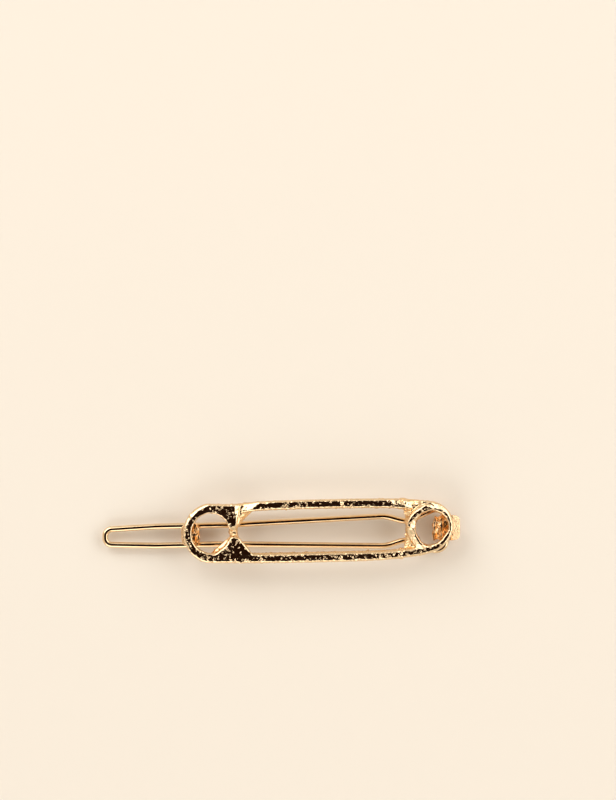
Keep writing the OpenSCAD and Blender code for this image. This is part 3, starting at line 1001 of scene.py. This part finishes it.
def wire_gold():
    """Plated spring wire: smooth, with faint lines along its length."""
    line_height = 0.000003
    material, bump = gold("wire_gold", pale, warm, rough=(0.02, 0.06), grain=5000, grain_height=0.000002)
    tree = material.node_tree
    place = add_node(tree, "ShaderNodeUVMap", (-1500, -500), uv_map="drawn")
    stretch = add_node(tree, "ShaderNodeMapping", (-1300, -500), Scale=(0.4, 9, 1))
    tree.links.new(place.outputs["UV"], stretch.inputs["Vector"])
    drawn = noise(tree, (-1100, -500), stretch.outputs["Vector"], 1.0, 3.0)
    lines = add_bump(tree, (-500, -450), drawn, line_height)
    tree.links.new(lines.outputs["Normal"], bump.inputs["Normal"])
    # painted shade on the wire's upright sides, for the shadowed floor they reflect
    paint_side_shade(material, (0.86, 0.62, 0.35))
    return material


def lay_floor():
    """A plain pale floor, turned up into a backdrop far from the object."""
    flat, bend, rise, sides = 720.0, 300.0, 260.0, 96
    ring_shares = (0.025, 0.125, 0.375, 0.75, 1.0)
    bend_angle = 9
    outward = 20
    below = 0.01
    turn = [math.radians(bend_angle * k) for k in range(1, 9)]
    rings = [(flat * share, 0.0) for share in ring_shares]
    rings += [(flat + bend * math.sin(t), bend * (1 - math.cos(t))) for t in turn]
    rings.append((rings[-1][0] + outward, rings[-1][1] + rise))
    points = [(0, 0, -below)]
    for r, z in rings:
        points += [(*polar(r, 360 * k / sides), z - below) for k in range(sides)]
    faces = [(0, 1 + k, 1 + (k + 1) % sides) for k in range(sides)]
    for i in range(len(rings) - 1):
        a, b = 1 + i * sides, 1 + (i + 1) * sides
        faces += [(a + k, b + k, b + (k + 1) % sides, a + (k + 1) % sides) for k in range(sides)]
    floor = mesh_object("floor", points, faces)
    material = bpy.data.materials.new("pale_floor")
    material.use_nodes = True
    shader = material.node_tree.nodes["Principled BSDF"]
    shader.inputs["Base Color"].default_value = (0.87, 0.82, 0.75, 1)
    shader.inputs["Roughness"].default_value = 0.9
    shader.inputs["Specular IOR Level"].default_value = 0.1
    floor.data.materials.append(material)


def light_tent():
    """A soft pale sky all round, which is dark at the top."""
    dark_edge = [math.cos(math.radians(a)) for a in (37, 27)]
    world = bpy.data.worlds.new("tent")
    bpy.context.scene.world = world
    world.use_nodes = True
    tree = world.node_tree
    z = axis_of(tree, (-800, 0), places(tree, (-1000, 0), "Generated"), "Z")
    dark = smooth_step(tree, (-600, 0), z, *dark_edge)
    sky = blend_colours(tree, (-400, 0), dark, (0.87, 0.79, 0.68), (0.015, 0.005, 0.002))
    tree.links.new(sky, tree.nodes["Background"].inputs["Color"])


def hang_softboxes():
    """Four softboxes round the object, each aimed near its middle.

    Each has a name, its angle round the object and from straight up, in degrees, its power in
    watts before the gain, and its width in metres.
    """
    aim_share = 0.2
    middle = Vector((hinge[0] * aim_share, 0, back_z)) * MM
    distance = 0.55
    gain = 0.95
    for name, azimuth, zenith, power, size in (
        ("left_softbox", 132, 50, 1.22, 0.42),
        ("right_softbox", 32, 52, 0.85, 0.42),
        ("side_softbox", -14, 54, 0.45, 0.3),
        ("front_softbox", 245, 55, 0.75, 0.42),
    ):
        lamp = bpy.data.lights.new(name, "AREA")
        lamp.size = size
        lamp.energy = power * gain
        lamp.color = (1.0, 0.98, 0.95)
        a, z = math.radians(azimuth), math.radians(zenith)
        out = Vector((math.cos(a) * math.sin(z), math.sin(a) * math.sin(z), math.cos(z)))
        held = bpy.data.objects.new(name, lamp)
        held.location = middle + distance * out
        held.rotation_euler = out.to_track_quat("Z", "Y").to_euler()
        bpy.context.scene.collection.objects.link(held)


def set_camera():
    """A camera straight above, which frames the pin as the photograph does."""
    px_per_mm = 6.0
    picture = np.array([616, 800])
    object_px = np.array([318.4, 530.66])
    object_mm = np.array([6.275, 0])
    tilt = math.radians(1.26)
    height = 600.0
    right = np.array([math.cos(tilt), -math.sin(tilt)])
    up = np.array([math.sin(tilt), math.cos(tilt)])
    offset = (object_px - picture / 2) / px_per_mm
    centre = object_mm - offset[0] * right + offset[1] * up
    camera = bpy.data.cameras.new("camera")
    camera.sensor_width = 36
    camera.lens = camera.sensor_width * (height - back_z) / (picture[1] / px_per_mm)
    camera.clip_start = 0.01
    camera.clip_end = 10
    held = bpy.data.objects.new("camera", camera)
    held.location = Vector((*centre, height)) * MM
    held.rotation_euler = (0, 0, -tilt)
    bpy.context.scene.collection.objects.link(held)
    bpy.context.scene.camera = held


set_camera()
light_tent()
hang_softboxes()
lay_floor()

materials = {"cast_gold": cast_gold(), "solder_gold": solder_gold(), "wire_gold": wire_gold()}

for piece, replaced, slot, body in (
    (make_pin(), "pin_frame", "cast_gold", "frame"),
    (make_small_casting("catch_casting", "catch_post", catch_foot), "catch_post", "solder_gold", "frame"),
    (make_small_casting("lug_casting", "hinge_lug", lug_foot), "hinge_lug", "solder_gold", "frame"),
    (make_wire(), "wire_arm", "wire_gold", "arm"),
):
    piece.data.materials.append(materials[slot])
    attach(piece, body)
    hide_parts(replaced)

scene = bpy.context.scene
scene.view_settings.view_transform = "Standard"
